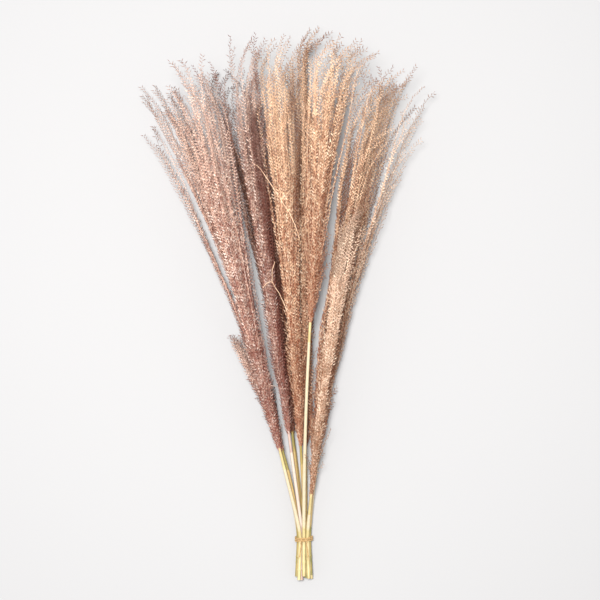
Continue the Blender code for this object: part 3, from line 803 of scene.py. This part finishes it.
# The seeds stand in pairs along every raceme, and open more widely towards its tip
only_racemes = add(plume_tree, "GeometryNodeSeparateGeometry", {"domain": "CURVE"}, {
    "Geometry": paths, "Selection": seeded})
joints = add(plume_tree, "GeometryNodeCurveToPoints", {"mode": "LENGTH"}, {
    "Curve": only_racemes, "Length": plume_size["Spacing"]})
tilt = add(plume_tree, "ShaderNodeMapRange", {}, {
    "Value": along, "From Min": 0.2, "From Max": 1.0,
    "To Min": plume_size["Low tilt"], "To Max": plume_size["High tilt"]})
growth = add(plume_tree, "ShaderNodeMapRange", {}, {
    "Value": along, "To Min": LARGER_LOW[0], "To Max": LARGER_LOW[1]})
sets = []
for number, (turn, opens, shift) in enumerate(SEED_PAIR):
    # Each plume and each of its two sets of seeds draws its own chances
    seed = add(plume_tree, "ShaderNodeMath", {"operation": "MULTIPLY_ADD"}, {
        "Value": plume_size["Seed"], "Value_001": 10.0, "Value_002": 3.0 * number})
    stray = add(plume_tree, "FunctionNodeRandomValue", {"data_type": "FLOAT"}, {
        "Min": turn - SEED_SWERVE, "Max": turn + SEED_SWERVE, "Seed": seed})
    spin = add(plume_tree, "ShaderNodeMath", {"operation": "ADD"}, {
        "Value": roll, "Value_001": stray})
    turned = add(plume_tree, "FunctionNodeAxisAngleToRotation", {}, {
        "Axis": (0, 0, 1), "Angle": spin})
    loose = add(plume_tree, "FunctionNodeRandomValue", {"data_type": "FLOAT"}, {
        "Min": opens * SEED_OPENING[0], "Max": opens * SEED_OPENING[1], "Seed": seed})
    opening = add(plume_tree, "ShaderNodeMath", {"operation": "MULTIPLY"}, {
        "Value": tilt, "Value_001": loose})
    tilted = add(plume_tree, "FunctionNodeAxisAngleToRotation", {}, {
        "Axis": (0, 1, 0), "Angle": opening})
    round_raceme = add(plume_tree, "FunctionNodeRotateRotation", {"rotation_space": "LOCAL"}, {
        "Rotation": joints.outputs["Rotation"], "Rotate By": turned})
    stance = add(plume_tree, "FunctionNodeRotateRotation", {"rotation_space": "LOCAL"}, {
        "Rotation": round_raceme, "Rotate By": tilted})
    further = add(plume_tree, "ShaderNodeVectorMath", {"operation": "SCALE"}, {
        "Vector": joints.outputs["Tangent"], "Scale": shift})
    roots = add(plume_tree, "GeometryNodeSetPosition", {}, {"Geometry": joints, "Offset": further})
    luck = add(plume_tree, "FunctionNodeRandomValue", {"data_type": "FLOAT"}, {
        "Min": SEED_SIZES[0], "Max": SEED_SIZES[1], "Seed": seed})
    grade = add(plume_tree, "ShaderNodeMath", {"operation": "MULTIPLY"}, {
        "Value": luck, "Value_001": growth})
    placed = add(plume_tree, "GeometryNodeInstanceOnPoints", {}, {
        "Points": roots, "Instance": spikelet, "Rotation": stance, "Scale": grade})
    tone = add(plume_tree, "FunctionNodeRandomValue", {"data_type": "FLOAT"}, {
        "Min": 0.0, "Max": 1.0, "Seed": seed})
    toned = add(plume_tree, "GeometryNodeStoreNamedAttribute", {
        "data_type": "FLOAT", "domain": "INSTANCE"}, {
        "Geometry": placed, "Name": "shade", "Value": tone})
    sets.append(toned)

# All of it together, with what lies lowest pressed flat on the table
together = plume_tree.nodes.new("GeometryNodeJoinGeometry")
for source in (rods, *sets):
    plume_tree.links.new(source.outputs[0], together.inputs["Geometry"])
whole = add(plume_tree, "GeometryNodeRealizeInstances", {}, {"Geometry": together})
place = add(plume_tree, "GeometryNodeInputPosition", {}, {})
parts = add(plume_tree, "ShaderNodeSeparateXYZ", {}, {"Vector": place})
pressed = add(plume_tree, "ShaderNodeMapRange", {}, {
    "Value": parts.outputs["Z"], "From Min": PRESSED[0], "From Max": PRESSED[1],
    "To Min": ABOVE_TABLE, "To Max": PRESSED[1]})
lifted = add(plume_tree, "ShaderNodeMath", {"operation": "MAXIMUM"}, {
    "Value": parts.outputs["Z"], "Value_001": pressed})
on_table = add(plume_tree, "ShaderNodeCombineXYZ", {}, {
    "X": parts.outputs["X"], "Y": parts.outputs["Y"], "Z": lifted})
resting = add(plume_tree, "GeometryNodeSetPosition", {}, {"Geometry": whole, "Position": on_table})
dressed = add(plume_tree, "GeometryNodeSetMaterial", {}, {
    "Geometry": resting, "Material": plume_size["Finish"]})
add(plume_tree, "NodeGroupOutput", {}, {"Result": dressed})


# Dried husks: papery and nearly matt. Each seed is pale and silky at its base and dark at its
# tip. No two have dried alike, and the racemes are deeper in colour towards the plume's foot and
# paler towards its top. CLUMPS is for each metre: the tufts that have stayed dull are about 8 mm wide.
CLUMPS = 130.0
CLUMP_STRETCH = 0.4  # and 19 mm long


def plume_finish(name, rod, husk, tip, fleck, deep):
    """The husks of one plume's colour, and the rods that carry them."""
    material, tree, shader = new_material(name)
    ripe, shade, is_rod, height, tint, along = [
        add(tree, "ShaderNodeAttribute", {"attribute_name": key}, {}).outputs["Fac"]
        for key in ("ripe", "shade", "rod", "height", "tint", "along")]
    ripened = add(tree, "ShaderNodeMapRange", {"interpolation_type": "SMOOTHSTEP"}, {
        "Value": ripe, "From Min": 0.35, "From Max": 1.0})
    # Single seeds that are paler or deeper than the rest, more of them low down
    variety = add(tree, "ShaderNodeMapRange", {}, {
        "Value": height, "From Min": 0.45, "From Max": 0.85, "To Min": 1.5, "To Max": 0.45})
    pale = add(tree, "ShaderNodeMapRange", {}, {
        "Value": shade, "From Min": 0.66, "From Max": 1.0, "To Max": variety})
    dim = add(tree, "ShaderNodeMapRange", {}, {
        "Value": shade, "From Min": 0.52, "From Max": 0.1, "To Max": variety})
    # Dull tufts
    place = add(tree, "ShaderNodeTexCoord", {}, {}).outputs["Object"]
    lengthwise = add(tree, "ShaderNodeMapping", {}, {"Vector": place, "Scale": (1, CLUMP_STRETCH, 1)})
    clumps = add(tree, "ShaderNodeTexNoise", {}, {
        "Vector": lengthwise, "Scale": CLUMPS, "Detail": 1.0})
    dull = add(tree, "ShaderNodeMapRange", {}, {
        "Value": clumps, "From Min": 0.52, "From Max": 0.36, "To Min": 0.0, "To Max": 0.55})
    colour = linear(husk)
    for factor, shown in ((ripened, tip), (pale, fleck), (dim, deep), (is_rod, rod), (dull, deep)):
        colour = add(tree, "ShaderNodeMix", {"data_type": "RGBA"}, {
            "Factor": factor, "A": colour, "B": linear(shown)})
    # Whole racemes that are paler or deeper, by their tint: their own tone, with painted light on the
    # lit side of each plume and painted shade along the shade lines
    strength = add(tree, "ShaderNodeMapRange", {}, {
        "Value": tint, "From Min": -0.45, "To Min": 0.24, "To Max": 1.40})
    colour = add(tree, "ShaderNodeVectorMath", {"operation": "SCALE"}, {
        "Vector": colour, "Scale": strength})
    # Paler towards the plume's top
    paler_at_top = add(tree, "ShaderNodeMapRange", {}, {
        "Value": height, "From Min": 0.6, "From Max": 0.95, "To Min": 0.0, "To Max": 0.22})
    # Racemes of low tint take on the deep colour: their own deep tone, and painted shade
    deep_tone_and_shade = add(tree, "ShaderNodeMapRange", {}, {
        "Value": tint, "From Min": 0.25, "From Max": -0.35, "To Min": 0.0, "To Max": 0.5})
    # The last seeds of a raceme, which stand thin and dark, most of all at the plume's top
    topmost = add(tree, "ShaderNodeMapRange", {}, {
        "Value": height, "From Min": 0.84, "From Max": 0.98, "To Min": 0.2, "To Max": 0.8})
    last = add(tree, "ShaderNodeMapRange", {}, {
        "Value": along, "From Min": 0.82, "From Max": 1.0, "To Min": 0.0, "To Max": topmost})
    # Deeper in colour towards the plume's foot
    low = add(tree, "ShaderNodeMapRange", {}, {
        "Value": height, "From Min": 0.0, "From Max": 0.9, "To Min": 0.75, "To Max": 0.0})
    for factor, shown in ((paler_at_top, fleck), (deep_tone_and_shade, deep), (last, tip), (low, deep)):
        colour = add(tree, "ShaderNodeMix", {"data_type": "RGBA"}, {
            "Factor": factor, "A": colour, "B": linear(shown)})
    tree.links.new(result(colour), shader.inputs["Base Color"])
    shader.inputs["Roughness"].default_value = 0.62
    shader.inputs["Specular IOR Level"].default_value = 0.2
    return material


plume_finishes = {
    "mauve": plume_finish("dried_husks_mauve", "#E8CAB6", "#EBC3AC", "#6E4338", "#FBE9DC", "#7B4236"),
    "brown": plume_finish("dried_husks_brown", "#BE8C75", "#AC7861", "#3C2019", "#EBC7B3", "#583024"),
    "copper": plume_finish("dried_husks_copper", "#F6D3B0", "#F8CFA9", "#6E3C26", "#FFE6C8", "#86492F"),
    "beige": plume_finish("dried_husks_beige", "#F4D9BC", "#F4D4BC", "#764A35", "#FBE4CC", "#8E6043"),
}


def raceme_tint(number, direction, share, chance):
    """How pale a raceme is: painted light makes it paler on the lit side of its plume and the further
    out it lies, and its plume's deeper tone and painted shade make it deeper.
    """
    facing = LIT_SIDE[0] * math.cos(direction) + LIT_SIDE[1] * math.sin(direction)
    return MEAN_TINT + LIT_SIDE_PALER * facing * share + chance.gauss(0, TINT_VARIES) - TONE_AND_SHADE.get(number, 0)


for number, stem in enumerate(STEMS, 1):
    chance = random.Random(number)
    length = stem.tip - stem.base
    slim = SLIM.get(number, 1)
    count = round(stem.racemes * RACEMES_FOR_ONE * SPARSE.get(number, 1))
    racemes = []
    tints = []
    for index, rank in enumerate(chance.sample(range(count), count)):
        root = ROOTS_OVER * (index / count) ** ROOTS_LOW
        end = 1 - TIPS_OVER * FULL_TOP.get(number, 1) * chance.random() ** TIPS_HIGH
        share = math.sqrt((rank + 0.5) / count) * slim
        direction = index * GOLDEN_ANGLE + stem.place
        racemes.append(raceme(stem, direction, share, root, end, chance))
        tints.append(raceme_tint(number, direction, share, chance))
    few = round(count * LOW_SHARE)
    for index in range(few):
        root = LOW_LENGTH * (index / few) ** LOW_CROWDED
        end = root + LOW_LENGTH * chance.uniform(*LOW_RUN)
        share = chance.uniform(*LOW_REACH) * slim
        direction = index * GOLDEN_ANGLE
        racemes.append(raceme(stem, direction, share, root, end, chance, LOW_SPREAD_OVER, LOW_POINTS))
        tints.append(raceme_tint(number, direction, share, chance))
    rows = []  # one for each point: thickness, seeded, along, roll, height and tint
    for path, tint in zip(racemes, tints):
        roll = math.radians(chance.uniform(-SEED_ROLL, SEED_ROLL))
        for step, point in enumerate(path):
            along = step / (len(path) - 1)
            radius = RACEME_RADII[0] + (RACEME_RADII[1] - RACEME_RADII[0]) * along
            height = (point.y - stem.base) / length
            # Painted shade: the tint is lowered near the shade lines
            rows.append((radius, 1.0, along, roll, height, tint - painted_shade(point.x, point.y)))
    axis = []
    for step in range(RACEME_POINTS):
        share = step / (RACEME_POINTS - 1)
        height = stem.base + length * AXIS_SHARE * share
        axis.append(in_space(height, middle(stem, height)))
        radius = AXIS_RADII[0] + (AXIS_RADII[1] - AXIS_RADII[0]) * share
        rows.append((radius, 0.0, 0.0, 0.0, AXIS_SHARE * share, MEAN_TINT))
    bare = [caught_stalk(number, way) for owner, way in STRAYS if owner == number]
    for path in bare:
        rows += [(BARE_RADIUS, 0.0, 0.0, 0.0, BARE_HEIGHT, BARE_TINT)] * len(path)
    values = dict(zip(("thickness", "seeded", "along", "roll", "height", "tint"), zip(*rows)))
    name = f"plume_{number:02d}"
    piece = strands(name + "_racemes", [*racemes, axis, *bare], values)
    grown(piece, plume_tree, plume_finishes[stem.colour], {"Seed": number})
    piece.data.shade_smooth()
    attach(piece, "root")
    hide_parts(name)

# The table and the light. A plain white table, lit softly from above as by a large window, with
# the camera straight over the bundle as the photograph faces it.
TABLE = 8.0
PIXEL = 0.00136  # of the photograph, at the bundle's middle height
VIEW_WIDTH = 600 * PIXEL
VIEW_CENTRE = (-0.0054, 0.333)  # of the picture, across and along the bundle
CAMERA_HEIGHT = 2.27
BUNDLE_MIDDLE = 0.07  # that height
WINDOW_SIZE = 0.5  # small enough to leave the gaps among the plumes their shade
WINDOW_POWER = 116
WINDOW_PLACE = Vector((-0.16, 0.50, 2.5))
WINDOW_AIM = Vector((0, 0.33, 0))
ROOM_LIGHT = 0.64

half = TABLE / 2
mesh = bpy.data.meshes.new("table")
mesh.from_pydata([(-half, -half, 0), (half, -half, 0), (half, half, 0), (-half, half, 0)],
                 [], [(0, 1, 2, 3)])
table = bpy.data.objects.new("table", mesh)
bpy.context.scene.collection.objects.link(table)
# Board with rolled white paint: matt and even, and seen from too far off to show its grain.
painted, _, shader = new_material("white_painted_board")
shader.inputs["Base Color"].default_value = linear("#A4A3A3")
shader.inputs["Roughness"].default_value = 0.8
mesh.materials.append(painted)

camera_data = bpy.data.cameras.new("camera")
camera_data.angle = 2 * math.atan(VIEW_WIDTH / 2 / (CAMERA_HEIGHT - BUNDLE_MIDDLE))
camera = bpy.data.objects.new("camera", camera_data)
camera.location = (*VIEW_CENTRE, CAMERA_HEIGHT)
bpy.context.scene.collection.objects.link(camera)
bpy.context.scene.camera = camera

window_data = bpy.data.lights.new("window", "AREA")
window_data.shape = "DISK"
window_data.size = WINDOW_SIZE
window_data.energy = WINDOW_POWER
window = bpy.data.objects.new("window", window_data)
window.location = WINDOW_PLACE
window.rotation_euler = (WINDOW_AIM - WINDOW_PLACE).to_track_quat("-Z", "Y").to_euler()
bpy.context.scene.collection.objects.link(window)

world = bpy.data.worlds.new("soft_room_light")
world.use_nodes = True
backdrop = world.node_tree.nodes["Background"]
backdrop.inputs["Color"].default_value = linear("#FFFFFF")
backdrop.inputs["Strength"].default_value = ROOM_LIGHT
bpy.context.scene.world = world
bpy.context.scene.view_settings.view_transform = "Standard"
